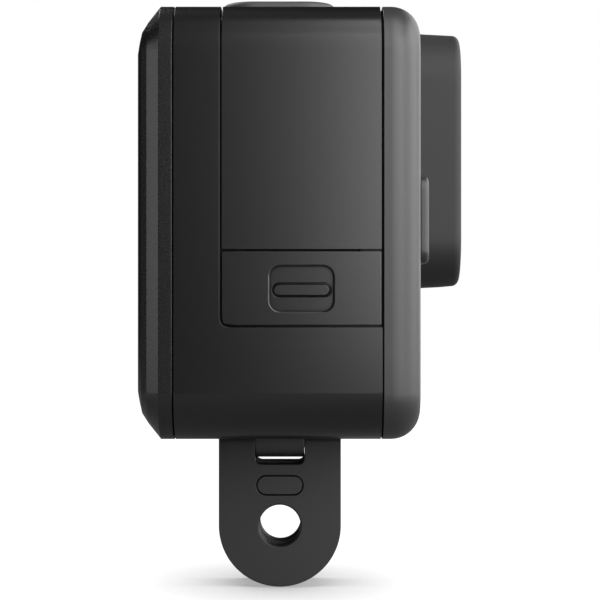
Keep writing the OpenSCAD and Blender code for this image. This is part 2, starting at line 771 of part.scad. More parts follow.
module lens_cover_glass() color("#22262b")
    rod_y(glass_r, glass_y0, glass_y0 + glass_t, lens_x, lens_z);

module lens_mount_ring() color("#2a2a2b") {
    difference() {
        rod_y(ring_out_r, ring_y0, front_y0, lens_x, lens_z);
        rod_y(ring_in_r, ring_y0 - 1, front_y0 + 1, lens_x, lens_z);
        // groove of the o-ring
        difference() {
            rod_y(ring_out_r + 1, ring_y0 + 0.4, ring_y0 + 1.3, lens_x, lens_z);
            rod_y(ring_out_r - 0.3, ring_y0, ring_y0 + 2, lens_x, lens_z);
        }
    }
    lugs(ring_out_r - 0.05, cover_cavity_r - 0.3, cover_y1 - 2 * lug_t - 0.15,
         cover_y1 - lug_t - 0.15, 12);
}

module lens_o_ring() color("#8a2a20") translate([lens_x, ring_y0 + 0.85, lens_z])
    rotate([90, 0, 0]) rotate_extrude() translate([ring_out_r + 0.15, 0]) circle(0.42, $fn = 24);

module lens_barrel() color("#1b1b1d") difference() {
    rod_y(barrel_out_r, barrel_y_front, block_y0, lens_x, lens_z);
    // stepped hood in front, light path behind
    for (i = [0:2]) rod_y(element_r + 0.25 + 0.7 * (2 - i), barrel_y_front - 1,
                          barrel_y_front + 0.5 * (i + 1), lens_x, lens_z);
    rod_y(element_r - 2, barrel_y_front, block_y0 + 1, lens_x, lens_z);
    rod_y(element_r + fit, barrel_y_front, barrel_y_front + 3.2, lens_x, lens_z);
}

module lens_front_element() color("#33363f") intersection() {
    rod_y(element_r, barrel_y_front + 0.2, barrel_y_front + 3.2, lens_x, lens_z);
    translate([lens_x, barrel_y_front + 0.35 + 1.6 * element_r, lens_z]) sphere(1.6 * element_r);
}

lens_block_w = 2 * barrel_out_r + 1;
lens_block_h = 2 * (button_board_z1 - button_board_t - 0.3 - lens_z);

module lens_block() color("#3a3a3b") difference() {
    slab(lens_block_w, lens_block_h, 2, block_y0, block_y1, lens_x, lens_z);
    rod_y(element_r - 1, block_y0 - 1, block_y1 + 1, lens_x, lens_z);
}

module image_sensor() color("#4a5a6a")
    block([lens_x - 3.6, block_y1 - 1, lens_z - 2.8], [lens_x + 3.6, block_y1, lens_z + 2.8]);

module sensor_board() color("#2f6b3f") slab(lens_block_w - 1, lens_block_h - 1, 1, block_y1,
    block_y1 + 1, lens_x, lens_z);

// ---------------------------------------------------------------- inside

board_margin = 0.4;
speaker_x1 = cavity_x1;

module main_board() color("#2f6b3f")
    block([cavity_x0 + board_margin, board_y0, cavity_z0 + bracket_plate_t + 1.4],
          [speaker_x1 - speaker_t - 0.3, board_y0 + board_t,
           button_board_z1 - button_board_t - 0.5]);

module processor() color("#202022")
    block([lens_x - 5, board_y0 + board_t, lens_z - 5], [lens_x + 5, thermal_y0, lens_z + 5]);

module thermal_pad() color("#8f9aa5")
    block([lens_x - 5, thermal_y0, lens_z - 5], [lens_x + 5, thermal_y0 + thermal_t, lens_z + 5]);

battery_z0 = cavity_z0 + bracket_plate_t + 0.8;
battery_x0 = cavity_x0 + 1.6;
battery_x1 = cavity_x1 - speaker_t - 0.2;
battery_z1 = lens_z - lens_block_w / 2 - 1;

module battery() color("#3d4a63") translate([(battery_x0 + battery_x1) / 2, 0, 0])
    upright(battery_x1 - battery_x0, board_y0 - 0.6 - (y_front + 0.6), 2, battery_z0, battery_z1,
            0, (board_y0 - 0.6 + y_front + 0.6) / 2);

module battery_pads() color("#55565a") for (x = [battery_x0 + 5.5, battery_x1 - 5.5])
    block([x - 3, y_front + 3, cavity_z0], [x + 3, board_y0 - 1.5, battery_z0]);

usb_w = 9;
usb_t = 3.2;
usb_y = frame_y1 - 3.6;
usb_z = (split_z + frame_z1) / 2 + 1;
card_w = 11.6;
card_t = 1.5;
card_y = usb_y - usb_t / 2 - 1 - card_t / 2;
card_z = usb_z;
port_l = 7;

module port_board() color("#2f6b3f")
    block([bay_x + 0.1, card_y + card_t / 2, usb_z - 7],
          [bay_x + 9, usb_y - usb_t / 2, usb_z + 7]);

module usb_port() color("silver") difference() {
    along_x(recess_x + 0.05, recess_x + port_l) translate([usb_y, usb_z])
        rounded_rect(usb_t, usb_w, usb_t / 2 - eps);
    difference() {
        along_x(recess_x - 1, recess_x + port_l - 1) translate([usb_y, usb_z])
            rounded_rect(usb_t - 0.6, usb_w - 0.6, usb_t / 2 - 0.3 - eps);
        // tongue
        block([recess_x + 0.6, usb_y - 0.35, usb_z - 3.3],
              [recess_x + port_l, usb_y + 0.35, usb_z + 3.3]);
    }
}

module card_slot() color("silver") difference() {
    block([recess_x + 0.05, card_y - card_t / 2, card_z - card_w / 2],
          [recess_x + 14, card_y + card_t / 2, card_z + card_w / 2]);
    block([recess_x - 1, card_y - 0.5, card_z - card_w / 2 + 0.2],
          [recess_x + 13.6, card_y + 0.4, card_z + card_w / 2 - 0.2]);
}

module memory_card() color("#1f1f22")
    block([recess_x + 0.3, card_y - 0.45, card_z - 5.5],
          [recess_x + 13.5, card_y + 0.3, card_z + 5.5]);

module front_mic_cover() color("#4a4a4c") difference() {
    intersection() {
        slab(mic_cover_w, mic_cover_h, 1.5, front_y0 - mic_cover_rise, front_y0,
             mic_cover_x, mic_cover_z);
        along_x(-side_x, side_x) polygon([
            [front_y0 + 1, mic_cover_z - mic_cover_h / 2],
            [front_y0 - mic_cover_rise / 2, mic_cover_z - mic_cover_h / 2],
            [front_y0 - mic_cover_rise, mic_cover_z - mic_cover_h / 2 + mic_cover_rise / 2],
            [front_y0 - mic_cover_rise, mic_cover_z + mic_cover_h / 2 - mic_cover_rise / 2],
            [front_y0 - mic_cover_rise / 2, mic_cover_z + mic_cover_h / 2],
            [front_y0 + 1, mic_cover_z + mic_cover_h / 2]
        ]);
    }
    for (i = [-1:1])
        block([mic_cover_x - 2.6, front_y0 - mic_cover_rise - 1, mic_cover_z + 2 * i - 0.35],
              [mic_cover_x + 2.6, front_y0 + 1, mic_cover_z + 2 * i + 0.35]);
}

module front_microphone() color("silver") {
    back = front_y0 + wall + 0.2;
    difference() {
        block([mic_cover_x - 1.6, back, mic_cover_z - 2],
              [mic_cover_x + 1.6, back + 1.1, mic_cover_z + 2]);
        rod_y(0.4, back - 1, back + 0.5, mic_cover_x, mic_cover_z);
    }
}

module status_light() color("#c8ccd0")
    rod_y(0.85, front_y0 - 0.02, front_y0 + wall + 0.5, light_x, light_z);

module speaker() color("#3a3a3b")
    rod_x(speaker_r, speaker_x1 - speaker_t, speaker_x1 - 0.3, speaker_y, speaker_z);

module speaker_mesh() color("#17171a")
    rod_x(speaker_r, speaker_x1 - 0.3, speaker_x1, speaker_y, speaker_z);

// ---------------------------------------------------------------- nodes

main_housing();
front_cover();
rear_heat_sink();
front_gasket();
rear_gasket();
rear_cover_screws();
base_hinge_bracket();
bracket_screws();
base_hinge_pins();
base_finger_right();
base_finger_left();
base_magnet_right();
base_magnet_left();
rear_hinge_bracket();
rear_hinge_pins();
rear_finger_right();
rear_finger_left();
rear_magnet_right();
rear_magnet_left();
door_panel();
door_latch_panel();
door_frame();
door_seal();
door_hinge_pin();
door_latch();
latch_spring();
shutter_button();
button_seal();
button_switch();
button_board();
status_window();
status_display();
lens_cover_frame();
lens_cover_glass();
lens_mount_ring();
lens_o_ring();
lens_barrel();
lens_front_element();
lens_block();
image_sensor();
sensor_board();
main_board();
processor();
thermal_pad();
battery();
battery_pads();
port_board();
usb_port();
card_slot();
memory_card();
front_mic_cover();
front_microphone();
status_light();
speaker();
speaker_mesh();
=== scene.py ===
"""Looks of the compact action camera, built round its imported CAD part.

Lengths are in millimetres in the dataclasses and turned into metres by MM when a mesh is
made. The frame is the part's own: X across the body, the lens looks along -Y, Z is up, and
the origin is the centre of the bore through the two base fingers.
"""

import logging
import math
from dataclasses import dataclass, field
from enum import Enum

import bpy
import numpy as np
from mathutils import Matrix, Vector
from numpy.typing import NDArray


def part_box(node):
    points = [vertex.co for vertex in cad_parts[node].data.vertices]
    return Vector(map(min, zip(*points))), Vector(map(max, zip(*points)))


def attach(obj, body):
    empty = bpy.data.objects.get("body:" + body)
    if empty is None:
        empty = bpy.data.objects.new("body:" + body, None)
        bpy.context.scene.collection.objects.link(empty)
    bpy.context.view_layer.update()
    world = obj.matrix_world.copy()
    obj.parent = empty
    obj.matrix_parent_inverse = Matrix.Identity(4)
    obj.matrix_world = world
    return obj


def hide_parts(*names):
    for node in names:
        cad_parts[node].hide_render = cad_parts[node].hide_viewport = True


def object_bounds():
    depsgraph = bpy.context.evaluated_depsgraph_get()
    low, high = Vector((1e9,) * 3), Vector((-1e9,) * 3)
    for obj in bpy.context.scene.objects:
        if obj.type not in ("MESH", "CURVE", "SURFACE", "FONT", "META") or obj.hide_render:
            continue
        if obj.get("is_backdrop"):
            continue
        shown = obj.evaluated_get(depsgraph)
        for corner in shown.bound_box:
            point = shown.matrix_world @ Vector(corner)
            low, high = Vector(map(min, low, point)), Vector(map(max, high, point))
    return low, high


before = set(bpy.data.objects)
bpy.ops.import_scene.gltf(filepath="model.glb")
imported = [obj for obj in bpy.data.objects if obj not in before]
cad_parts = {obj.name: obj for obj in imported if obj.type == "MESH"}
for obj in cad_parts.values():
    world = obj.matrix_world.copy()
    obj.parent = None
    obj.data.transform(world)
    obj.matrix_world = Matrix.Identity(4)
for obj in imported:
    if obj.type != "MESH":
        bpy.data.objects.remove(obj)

LOG = logging.getLogger("action_camera")
MM = 0.001
SMOOTH_ANGLE = math.radians(38)
# the least that a radius or a distance is taken as, in millimetres
SMALLEST = 1e-4
WHITE = (1.0, 1.0, 1.0, 1.0)

Array = NDArray[np.float64]
Piece = bpy.types.Object
Node = bpy.types.Node
Socket = bpy.types.NodeSocket
Tree = bpy.types.NodeTree


# --------------------------------------------------------------------------- shapes


def make_piece(name: str, verts: Array, faces: list[list[int]]) -> Piece:
    """Makes a smooth mesh object whose sharp edges stay sharp.

    Args:
        name: Name of the piece and of its mesh.
        verts: Points of shape (points, 3) in millimetres.
        faces: Point numbers of each face, anticlockwise from outside.

    Returns:
        The object, at the origin, unturned and unscaled.
    """
    mesh = bpy.data.meshes.new(name)
    mesh.from_pydata((verts * MM).tolist(), [], faces)
    mesh.validate()
    mesh.shade_smooth()
    mesh.set_sharp_from_angle(angle=SMOOTH_ANGLE)
    piece = bpy.data.objects.new(name, mesh)
    bpy.context.scene.collection.objects.link(piece)
    return piece


def rounded_loop(
    width: float, height: float, radius: float, arc: int = 14, side: int = 10
) -> Array:
    """Points round a rounded rectangle centred on the origin, anticlockwise.

    Each corner is a quarter circle of `arc` steps about its centre; each side is cut into
    `side` equal steps. Loops of different sizes have the same number of points, so they can
    be skinned to each other.

    Args:
        width: Full size along the first axis.
        height: Full size along the second axis.
        radius: Corner radius.
        arc: Steps in a corner.
        side: Steps in a side.

    Returns:
        An array of shape (points, 2).
    """
    radius = max(radius, SMALLEST)
    corners = np.array([[1, 1], [-1, 1], [-1, -1], [1, -1]], float)
    centres = corners * [width / 2 - radius, height / 2 - radius]
    turn = np.linspace(0, math.pi / 2, arc + 1)
    starts = np.arange(4) * math.pi / 2
    angles = starts[:, None] + turn[None, :]
    arcs = centres[:, None, :] + radius * np.stack([np.cos(angles), np.sin(angles)], -1)
    ends = np.roll(arcs[:, 0], -1, axis=0)
    steps = np.linspace(0, 1, side + 1)[1:-1]
    sides = arcs[:, -1][:, None, :] + (ends - arcs[:, -1])[:, None, :] * steps[None, :, None]
    return np.concatenate([arcs, sides], axis=1).reshape(-1, 2)


def circle_like(loop: Array, radius: float) -> Array:
    """Points on a circle, each at the same angle about the origin as a point of a loop.

    Args:
        loop: The loop to follow, of shape (points, 2).
        radius: Radius of the circle.

    Returns:
        An array of shape (points, 2).
    """
    angle = np.arctan2(loop[:, 1], loop[:, 0])
    return radius * np.stack([np.cos(angle), np.sin(angle)], -1)


def quarter(radius: float, steps: int = 8) -> Array:
    """Stations of a quarter round as (inset, depth below the top) pairs, from wall to top.

    inset = r (1 - cos a) and depth = r (1 - sin a), for a from 0 to 90 degrees.

    Args:
        radius: Radius of the round.
        steps: Steps in the quarter.

    Returns:
        An array of shape (steps + 1, 2).
    """
    a = np.linspace(0, math.pi / 2, steps + 1)
    return radius * np.stack([1 - np.cos(a), 1 - np.sin(a)], -1)


@dataclass(frozen=True)
class Surface:
    """A closed skin through rings of points.

    Attributes:
        name: Name of the finished piece.
        rings: Array (rings, points, 3) in millimetres, each ring closed on itself.
        torus: True where the last ring joins the first one, as on a ring-shaped piece.
    """

    name: str
    rings: Array
    torus: bool = False

    def build(self) -> Piece:
        """Makes the mesh object, closed at both ends and with its faces outward.

        Returns:
            The object, at the origin, unturned and unscaled.
        """
        rows, cols = self.rings.shape[:2]
        verts = self.rings.reshape(-1, 3)
        index = np.arange(rows * cols).reshape(rows, cols)
        low = index if self.torus else index[:-1]
        high = np.roll(index, -1, axis=0) if self.torus else index[1:]
        quads = np.stack([low, np.roll(low, -1, 1), np.roll(high, -1, 1), high], -1)
        quads = quads.reshape(-1, 4)
        faces = quads.tolist()
        if not self.torus:
            caps = np.stack([self.rings[0].mean(0), self.rings[-1].mean(0)])
            verts = np.concatenate([verts, caps])
            first, last = rows * cols, rows * cols + 1
            start, end = index[0], index[-1]
            faces += np.stack([np.roll(start, -1), start, np.full(cols, first)], -1).tolist()
            faces += np.stack([end, np.roll(end, -1), np.full(cols, last)], -1).tolist()
        corners = verts[quads]
        volume = np.einsum("ij,ij->i", corners[:, 0], np.cross(corners[:, 1], corners[:, 2]))
        volume += np.einsum("ij,ij->i", corners[:, 0], np.cross(corners[:, 2], corners[:, 3]))
        if volume.sum() < 0:
            faces = [face[::-1] for face in faces]
        return make_piece(self.name, verts, faces)


class Facing(Enum):
    """How a loop's two axes and its height lie in the part's frame."""

    FRONT = "loop in X and Z, height along -Y"
    TOP = "loop in X and Y, height along +Z"
    SIDE = "loop in Y and Z, height along -X"

    def place(self, loop: Array, height: Array | float, centre: tuple[float, float]) -> Array:
        """Puts a flat loop into the part's frame.

        Args:
            loop: Points of shape (points, 2) about the loop's own centre.
            height: Coordinate on the third axis, one number or one for each point.
            centre: Where the loop's centre lies on its two axes.

        Returns:
            An array of shape (points, 3).
        """
        u = loop[:, 0] + centre[0]
        v = loop[:, 1] + centre[1]
        h = np.broadcast_to(np.asarray(height, float), u.shape)
        columns = {
            Facing.FRONT: (u, h, v),
            Facing.TOP: (u, v, h),
            Facing.SIDE: (h, u, v),
        }
        return np.stack(columns[self], -1)


@dataclass(frozen=True)
class Slab:
    """A rounded plate whose outer edge follows a profile and whose face may be domed.

    Attributes:
        name: Name of the finished piece.
        facing: Which way it faces.
        centre: Where its centre lies on the loop's two axes.
        width: Size along the loop's first axis.
        height: Size along the loop's second axis.
        radius: Corner radius.
        back: Coordinate of the flat back on the third axis.
        face: Coordinate of the middle of the face on the third axis.
        edge: Radius of the round between the wall and the face.
        dome: How far the face stands above its own edge.
        draft: How much the wall leans in over its full depth.
        wall_steps: Stations up the wall.
        lip_steps: Stations over the edge round.
        face_steps: Stations over the face.
        open_share: Share of the face that the rings cover; one fan of faces closes the rest.
        last_corner: Share of the corner radius left at the middle of the face.
    """

    name: str
    facing: Facing
    centre: tuple[float, float]
    width: float
    height: float
    radius: float
    back: float
    face: float
    edge: float
    dome: float = 0.0
    draft: float = 0.0
    wall_steps: int = 6
    lip_steps: int = 10
    face_steps: int = 14
    open_share: float = 0.985
    last_corner: float = 0.2

    def stations(self) -> Array:
        """Profile of the edge and face as (inset, distance back from the face's middle).

        The wall leans in by the draft, a quarter round joins it to the face, and the face
        rises by dome (1 - (1 - t)^2), where t goes from 0 at its edge to 1 at its middle.

        Returns:
            An array of shape (stations, 2).
        """
        depth = abs(self.face - self.back)
        reach = min(self.width, self.height) / 2
        foot, rim = [0, depth], [self.draft, self.edge + self.dome]
        wall = np.linspace(foot, rim, self.wall_steps + 1)[:-1]
        lip = quarter(self.edge, self.lip_steps) + [self.draft, self.dome]
        t = np.linspace(0, 1, self.face_steps + 1)[1:]
        across = (reach - self.draft - self.edge) * self.open_share
        top = np.stack([lip[-1, 0] + t * across, self.dome * (1 - t) ** 2], -1)
        return np.concatenate([wall, lip, top])

    def rings(self) -> Array:
        """Loops of the plate, from its back to the middle of its face.

        A loop's corner radius shrinks with its inset down to its last share, or to just
        under half of the loop where the loop is smaller than that.

        Returns:
            An array of shape (rings, points, 3).
        """
        sign = 1.0 if self.face > self.back else -1.0
        made = []
        for inset, below in self.stations():
            width = self.width - 2 * inset
            height = self.height - 2 * inset
            least = min(self.radius * self.last_corner, width / 2.01, height / 2.01)
            radius = max(self.radius - inset, least)
            loop = rounded_loop(width, height, radius)
            made.append(self.facing.place(loop, self.face - sign * below, self.centre))
        return np.stack(made)

    def build(self) -> Piece:
        """Makes the plate's mesh object.

        Returns:
            The finished object.
        """
        return Surface(self.name, self.rings()).build()


# --------------------------------------------------------------------------- finishes


def linear(hex_colour: str) -> tuple[float, float, float, float]:
    """Turns an sRGB hex colour into linear RGBA.

    Args:
        hex_colour: Such as "#3a3a3b".

    Returns:
        Four numbers, alpha 1.
    """
    raw = np.array([int(hex_colour[i : i + 2], 16) for i in (1, 3, 5)]) / 255
    value = np.where(raw <= 0.04045, raw / 12.92, ((raw + 0.055) / 1.055) ** 2.4)
    return (*value.tolist(), 1.0)


def fill(tree: Tree, target: Socket, value: object) -> None:
    """Links a socket to an input, or sets the input to a constant.

    Args:
        tree: Node tree of the material or world.
        target: The input.
        value: Another node's output, or the constant.
    """
    if isinstance(value, bpy.types.NodeSocket):
        tree.links.new(value, target)
    else:
        target.default_value = value


def add_node(tree: Tree, kind: str, settings: dict | None = None, **links: object) -> Node:
    """Adds a shader node, sets its properties and fills its inputs.

    Args:
        tree: Node tree of the material or world.
        kind: The node's type name.
        settings: Properties of the node itself.
        links: Input name, with spaces as underscores, to a socket or a constant value.

    Returns:
        The new node.
    """
    made = tree.nodes.new(kind)
    for key, value in (settings or {}).items():
        setattr(made, key, value)
    for key, value in links.items():
        fill(tree, made.inputs[key.replace("_", " ")], value)
    return made


def join_two(tree: Tree, kind: str, first: Socket, second: object, **settings: object) -> Socket:
    """Adds a node whose first two inputs share a name, such as a sum of numbers or shaders.

    Args:
        tree: Node tree of the material or world.
        kind: The node's type name.
        first: What goes into its first input.
        second: What goes into its second input, a socket or a constant.
        settings: Properties of the node itself.

    Returns:
        The node's output.
    """
    made = add_node(tree, kind, settings)
    fill(tree, made.inputs[0], first)
    fill(tree, made.inputs[1], second)
    return made.outputs[0]


def remap(
    tree: Tree, value: Socket, given: tuple[float, float], wanted: tuple[float, float]
) -> Socket:
    """Stretches a value from one range to another, clamped at the ends.

    Args:
        tree: Node tree of the material.
        value: The value.
        given: Range that is read.
        wanted: Range that is given back.

    Returns:
        The stretched value.
    """
    made = add_node(
        tree, "ShaderNodeMapRange", Value=value, From_Min=given[0], From_Max=given[1],
        To_Min=wanted[0], To_Max=wanted[1],
    )
    return made.outputs["Result"]


def noise(tree: Tree, place: Socket, size_mm: float, detail: float) -> Socket:
    """Adds a noise pattern of a real size.

    Args:
        tree: Node tree of the material.
        place: Object coordinates.
        size_mm: Size of one blotch in millimetres.
        detail: How many finer layers it carries.

    Returns:
        The pattern's value, around 0.5.
    """
    made = add_node(
        tree, "ShaderNodeTexNoise", Vector=place, Scale=1 / (size_mm * MM), Detail=detail
    )
    return made.outputs["Fac"]


def blank_material(name: str) -> tuple[bpy.types.Material, Tree]:
    """Makes a material with an empty node tree.

    Args:
        name: Name of the material.

    Returns:
        The material and its tree.
    """
    made = bpy.data.materials.new(name)
    made.use_nodes = True
    made.node_tree.nodes.clear()
    return made, made.node_tree


# where nearly all values of a noise pattern lie, and those of two patterns added up
NOISE_RANGE = (0.3, 0.7)
CLOUD_RANGE = (2 * NOISE_RANGE[0], 2 * NOISE_RANGE[1])


@dataclass(frozen=True)
class Moulded:
    """Moulded plastic or rubber with a fine grain, and with shade painted into its seams and
    grooves.

    Attributes:
        name: What the material is and how it was made.
        colour: sRGB hex of the bare stuff.
        roughness: Mean roughness.
        grain_mm: Size of the grain.
        grain_depth_mm: Height of the grain.
        mottle: Share by which the colour wanders.
        edge_mm: Radius of the moulded edge breaks.
        metallic: 1 for bare metal.
        ior: Index of refraction.
        painted_shade_reach_mm: Reach of the shade painted into seams and grooves.
        painted_shade_open_range: Open share of a point in the deepest crevice and at its clear
            rim.
        painted_shade_tone: Share of the tone and the gloss left in the deepest painted shade.
        broad_mm: Size of the wide clouds in the colour.
        gloss: Specular level in the open.
        rough_swing: How far the roughness wanders with the grain.
    """

    name: str
    colour: str
    roughness: float
    grain_mm: float = 0.14
    grain_depth_mm: float = 0.0003
    mottle: float = 0.05
    edge_mm: float = 0.12
    metallic: float = 0.0
    ior: float = 1.5
    painted_shade_reach_mm: float = 0.5
    painted_shade_open_range: tuple[float, float] = (0.35, 0.85)
    painted_shade_tone: float = 0.25
    broad_mm: float = 5.0
    gloss: float = 0.5
    rough_swing: float = 0.03

    def material(self) -> bpy.types.Material:
        """Builds the node material.

        Returns:
            The material.
        """
        made, tree = blank_material(self.name)
        place = add_node(tree, "ShaderNodeTexCoord").outputs["Object"]
        fine = noise(tree, place, self.grain_mm, 3.0)
        broad = noise(tree, place, self.broad_mm, 4.0)
        clouds = join_two(tree, "ShaderNodeMath", fine, broad, operation="ADD")
        wander = remap(tree, clouds, CLOUD_RANGE, (1 - self.mottle, 1 + self.mottle))
        # painted shade: ambient occlusion darkens the colour and dims the gloss in seams,
        # grooves and recesses, where shade falls
        painted_shade_ao = add_node(
            tree, "ShaderNodeAmbientOcclusion", {"samples": 8}, Distance=self.painted_shade_reach_mm * MM
        )
        clear = remap(tree, painted_shade_ao.outputs["AO"], self.painted_shade_open_range, (self.painted_shade_tone, 1.0))
        # the real mottle times the painted shade
        level = join_two(tree, "ShaderNodeMath", wander, clear, operation="MULTIPLY")
        gloss = join_two(tree, "ShaderNodeMath", clear, self.gloss, operation="MULTIPLY")
        tint = add_node(tree, "ShaderNodeVectorMath", {"operation": "SCALE"}, Scale=level)
        tint.inputs[0].default_value = linear(self.colour)[:3]
        low, high = self.roughness - self.rough_swing, self.roughness + self.rough_swing
        rough = remap(tree, fine, NOISE_RANGE, (low, high))
        edge = add_node(tree, "ShaderNodeBevel", {"samples": 6}, Radius=self.edge_mm * MM)
        bump = add_node(
            tree,
            "ShaderNodeBump",
            Height=fine,
            Distance=self.grain_depth_mm * MM,
            Strength=1.0,
            Normal=edge.outputs["Normal"],
        )
        skin = add_node(
            tree,
            "ShaderNodeBsdfPrincipled",
            Base_Color=tint.outputs["Vector"],
            Roughness=rough,
            Metallic=self.metallic,
            IOR=self.ior,
            Specular_IOR_Level=gloss,
            Normal=bump.outputs["Normal"],
        )
        add_node(tree, "ShaderNodeOutputMaterial", Surface=skin.outputs["BSDF"])
        return made


@dataclass(frozen=True)
class Coated:
    """Clear or dark glass with an anti-reflection coat.

    Attributes:
        name: What the material is and how it was made.
        colour: sRGB hex of the light that passes.
        coat: sRGB hex of the coat's reflection.
        transmission: Share of light let through.
        roughness: Roughness of the polished face.
        smear_mm: Size of the smears on it.
        smear: Share by which a smear changes the roughness.
        ior: Index of refraction.
    """

    name: str
    colour: str
    coat: str
    transmission: float
    roughness: float = 0.03
    smear_mm: float = 3.0
    smear: float = 0.4
    ior: float = 1.52

    def material(self) -> bpy.types.Material:
        """Builds the node material.

        Returns:
            The material.
        """
        made, tree = blank_material(self.name)
        place = add_node(tree, "ShaderNodeTexCoord").outputs["Object"]
        smears = noise(tree, place, self.smear_mm, 2.0)
        low, high = self.roughness * (1 - self.smear), self.roughness * (1 + self.smear)
        rough = remap(tree, smears, NOISE_RANGE, (low, high))
        skin = add_node(
            tree,
            "ShaderNodeBsdfPrincipled",
            Base_Color=linear(self.colour),
            Roughness=rough,
            Transmission_Weight=self.transmission,
            Specular_Tint=linear(self.coat),
            IOR=self.ior,
        )
        add_node(tree, "ShaderNodeOutputMaterial", Surface=skin.outputs["BSDF"])
        return made


class Finish(Enum):
    """Every finish of the camera, with what it gives the eye."""

    # deep charcoal with a fine spark grain: broad soft sheens that fade to near black
    HOUSING = Moulded("housing_polycarbonate_spark_textured", "#09090a", 0.24, edge_mm=0.06)
    # the same plastic as the housing, a touch lighter, so the door reads apart from it
    DOOR = Moulded("door_polycarbonate_spark_textured", "#0c0c0d", 0.24, edge_mm=0.06)
    # lighter, duller grey than the housing's same plastic; its lightness is partly painted
    # light, standing in for the front lights on the bright round of the front edge
    FRONT = Moulded(
        "front_cover_polycarbonate_spark_textured", "#232324", 0.42, edge_mm=0.08
    )
    # satin frame round the glass
    LENS_COVER = Moulded("lens_cover_nylon_satin", "#191919", 0.6, ior=1.4)
    # the lightest grey of the body, matte, so the cap reads apart from the top
    BUTTON = Moulded("button_polycarbonate_matte", "#333334", 0.55)
    # metal dyed black, with a broad dull sheen on the chamfer
    HEAT_SINK = Moulded("heat_sink_aluminium_anodised", "#0c0c0d", 0.27, edge_mm=0.09)
    # glass filled nylon: matte, with a faint light along its edges
    FINGER = Moulded("finger_nylon_glass_filled", "#1b1b1c", 0.5, edge_mm=0.18)
    # small caps over the magnets, hardly lighter than the fingers
    CAP = Moulded("magnet_cap_nylon_matte", "#1e1e1f", 0.47, edge_mm=0.08)
    # dyed metal block between the finger ears
    BRACKET = Moulded("hinge_block_aluminium_anodised", "#2c2c2d", 0.45, edge_mm=0.2)
    # turned pins and screws: narrow bright lines
    STEEL = Moulded(
        "steel_turned_satin", "#b4b4b6", 0.32, grain_mm=0.2, grain_depth_mm=0.002,
        mottle=0.03, edge_mm=0.05, metallic=1.0, ior=2.5,
    )
    # black seal rubber that swallows light
    RUBBER = Moulded("silicone_rubber_black", "#171717", 0.8, edge_mm=0.05)
    # near black seal behind the door, so that no colour shows through the seams
    SEAL = Moulded("silicone_rubber_charcoal", "#1b1b1c", 0.7, edge_mm=0.05)
    # dark inner mouldings
    INNER = Moulded("inner_mouldings_nylon_black", "#2a2a2b", 0.6, edge_mm=0.06)
    # green solder mask
    BOARD = Moulded("circuit_board_solder_mask", "#1f5a34", 0.4, edge_mm=0.03)
    # grey soft pads
    PAD = Moulded("silicone_pad_grey", "#7b828a", 0.75, edge_mm=0.05)
    # printed sleeve of the cell, without print
    CELL = Moulded("battery_sleeve_film", "#33415e", 0.4, edge_mm=0.3)
    # milky light guide
    LIGHT = Moulded("light_guide_frosted", "#c3c6ca", 0.4, edge_mm=0.05)
    # clear cover glass whose coat mirrors light in a greyed violet
    GLASS = Coated("cover_glass_coated", "#dfe4ec", "#8f8fa8", 1.0, 0.01)
    # deep dark front element, blue violet where it mirrors a light
    LENS = Coated("front_element_coated", "#0a0a10", "#7f86b4", 0.0, 0.02)
    # black window over the status display
    WINDOW = Coated("status_window_smoked", "#0b0b0c", "#ffffff", 0.0, 0.06)

    def material(self) -> bpy.types.Material:
        """The finish's material, made once.

        Returns:
            The material.
        """
        found = bpy.data.materials.get(self.value.name)
        return found or self.value.material()


def paint(piece: Piece, finish: Finish) -> None:
    """Gives every face of a piece one finish.

    Args:
        piece: The object to paint.
        finish: The finish.
    """
    piece.data.materials.clear()
    piece.data.materials.append(finish.material())
    for polygon in piece.data.polygons:
        polygon.material_index = 0


@dataclass(frozen=True)
class Standin:
    """How a finished piece joins the frame.

    Attributes:
        body: CAD body that it moves with.
        nodes: CAD nodes that it stands for.
        slot: Name of a material slot; not used.
        finish: Its finish.
    """

    body: str
    nodes: tuple[str, ...]
    slot: str
    finish: Finish

    def join(self, piece: Piece) -> None:
        """Paints a piece and ties it to the frame.

        Args:
            piece: The finished object.
        """
        paint(piece, self.finish)
        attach(piece, self.body)
        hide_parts(*self.nodes)
        LOG.info("%s: %d faces, rides on %s", piece.name, len(piece.data.polygons), self.body)


def span(node: str) -> tuple[Array, Array]:
    """Lowest and highest corner of a CAD node in millimetres.

    Args:
        node: The node's name.

    Returns:
        Two arrays of three numbers.
    """
    low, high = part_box(node)
    return np.array(low) / MM, np.array(high) / MM


# --------------------------------------------------------------------------- pieces


@dataclass
class FrontCover:
    """The front cover with its big soft edge, and the raised microphone cover on it.

    Attributes:
        corner_r: Radius of the four corners seen from the front.
        edge_r: Radius of the round between side and face.
        dome: How far the face is crowned.
        mic_r: Corner radius of the microphone cover.
        mic_edge: Edge round of the microphone cover.
        mic_dome: How far its face is crowned.
    """

    corner_r: float = 5.5
    edge_r: float = 3.3
    dome: float = 0.12
    mic_r: float = 1.5
    mic_edge: float = 0.45
    mic_dome: float = 0.08

    def build(self) -> list[tuple[Piece, Standin]]:
        """Makes the cover and the microphone cover.

        Returns:
            Each piece with its place in the frame.
        """
        low, high = span("front_cover")
        size = high - low
        mid = (low + high) / 2
        shell = Slab(
            "front_cover_skin", Facing.FRONT, (mid[0], mid[2]), size[0], size[2], self.corner_r,
            high[1], low[1], self.edge_r, self.dome,
        ).build()
        low, high = span("front_mic_cover")
        size = high - low
        mid = (low + high) / 2
        grille = Slab(
            "front_mic_cover_skin", Facing.FRONT, (mid[0], mid[2]), size[0], size[2], self.mic_r,
            high[1], low[1], self.mic_edge, self.mic_dome,
        ).build()
        return [
            (shell, Standin("body", ("front_cover",), "front_plastic", Finish.FRONT)),
            (grille, Standin("body", ("front_mic_cover",), "front_plastic", Finish.FRONT)),
        ]


